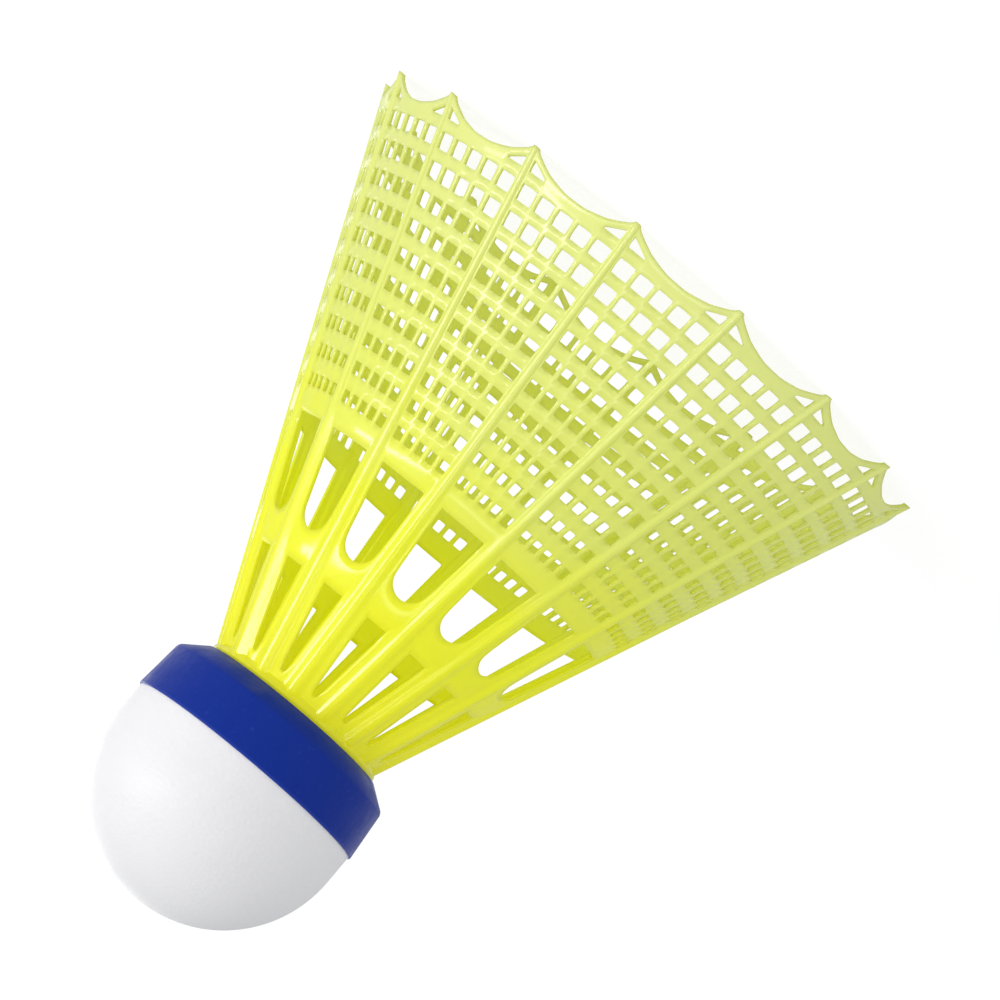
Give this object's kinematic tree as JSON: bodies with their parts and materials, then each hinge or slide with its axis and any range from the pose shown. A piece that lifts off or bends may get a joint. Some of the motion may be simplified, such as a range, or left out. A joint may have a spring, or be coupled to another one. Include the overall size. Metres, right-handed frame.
{
  "type": "badminton shuttlecock",
  "caption": "Badminton shuttlecock with a moulded lattice skirt on tapered stems, a scalloped rim, and a domed cork head with a white skin and a coloured band.",
  "frame": {"origin": "centre of the rim plane, on which the flat tips of the stems stand", "axes": "+Z along the axis from the rim up to the nose of the head; +X through the tip of skirt_stem_01"},
  "size_m": [0.0674, 0.0674, 0.078],
  "materials": {
    "skirt_nylon": "fluorescent yellow moulded nylon, slightly translucent, satin",
    "skin_white": "smooth white polyurethane skin, soft sheen",
    "band_blue": "royal blue vinyl band, semi-gloss",
    "cork_natural": "natural cork, matte",
    "cork_agglomerate": "pressed cork granules, matte",
    "glue_clear": "set clear adhesive"
  },
  "bodies": {
    "root": {"cork_nose": "cork_natural", "cork_body": "cork_agglomerate", "head_skin": "skin_white", "speed_band": "band_blue", "spigot_glue": "glue_clear", "skirt_hub": "skirt_nylon", "skirt_stem_01": "skirt_nylon", "skirt_stem_02": "skirt_nylon", "skirt_stem_03": "skirt_nylon", "skirt_stem_04": "skirt_nylon", "skirt_stem_05": "skirt_nylon", "skirt_stem_06": "skirt_nylon", "skirt_stem_07": "skirt_nylon", "skirt_stem_08": "skirt_nylon", "skirt_stem_09": "skirt_nylon", "skirt_stem_10": "skirt_nylon", "skirt_stem_11": "skirt_nylon", "skirt_stem_12": "skirt_nylon", "skirt_stem_13": "skirt_nylon", "skirt_stem_14": "skirt_nylon", "skirt_stem_15": "skirt_nylon", "skirt_stem_16": "skirt_nylon", "skirt_panel_01": "skirt_nylon", "skirt_panel_02": "skirt_nylon", "skirt_panel_03": "skirt_nylon", "skirt_panel_04": "skirt_nylon", "skirt_panel_05": "skirt_nylon", "skirt_panel_06": "skirt_nylon", "skirt_panel_07": "skirt_nylon", "skirt_panel_08": "skirt_nylon", "skirt_panel_09": "skirt_nylon", "skirt_panel_10": "skirt_nylon", "skirt_panel_11": "skirt_nylon", "skirt_panel_12": "skirt_nylon", "skirt_panel_13": "skirt_nylon", "skirt_panel_14": "skirt_nylon", "skirt_panel_15": "skirt_nylon", "skirt_panel_16": "skirt_nylon"}
  },
  "joints": []
}
